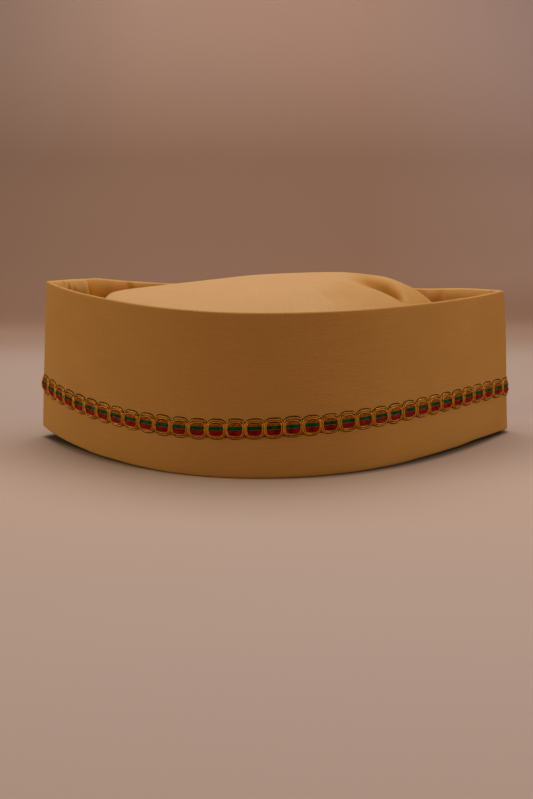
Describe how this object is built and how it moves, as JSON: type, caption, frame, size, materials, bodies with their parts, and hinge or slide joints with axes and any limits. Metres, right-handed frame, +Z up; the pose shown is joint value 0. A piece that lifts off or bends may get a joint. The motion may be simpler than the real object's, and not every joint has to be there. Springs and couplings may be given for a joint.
{
  "type": "gandhi cap",
  "caption": "Boat-shaped folded cloth cap with a turned-up band, a puffed soft crown inside it and a narrow scalloped braid sewn round the lower part of the band.",
  "frame": {"origin": "on the surface the cap rests on, under the middle of the cap's box", "axes": "+X along the cap towards the end that is on the right in the picture, +Y from the side with the longer bow, which faces the camera, to the other side, +Z up out of the cap's top"},
  "size_m": [0.2414, 0.1242, 0.0839],
  "materials": {
    "band_cloth": "golden cream satin-weave cotton, faintly ribbed along the cap",
    "crown_cloth": "golden cream satin-weave cotton, soft sheen",
    "gold_braid": "gold wrapped cord with a metallic glint",
    "green_thread": "bright green silky thread",
    "red_thread": "crimson silky thread"
  },
  "bodies": {
    "root": {"band": "band_cloth", "crown": "crown_cloth", "braid_gold": "gold_braid", "braid_green_thread": "green_thread", "braid_red_thread": "red_thread"}
  },
  "joints": []
}
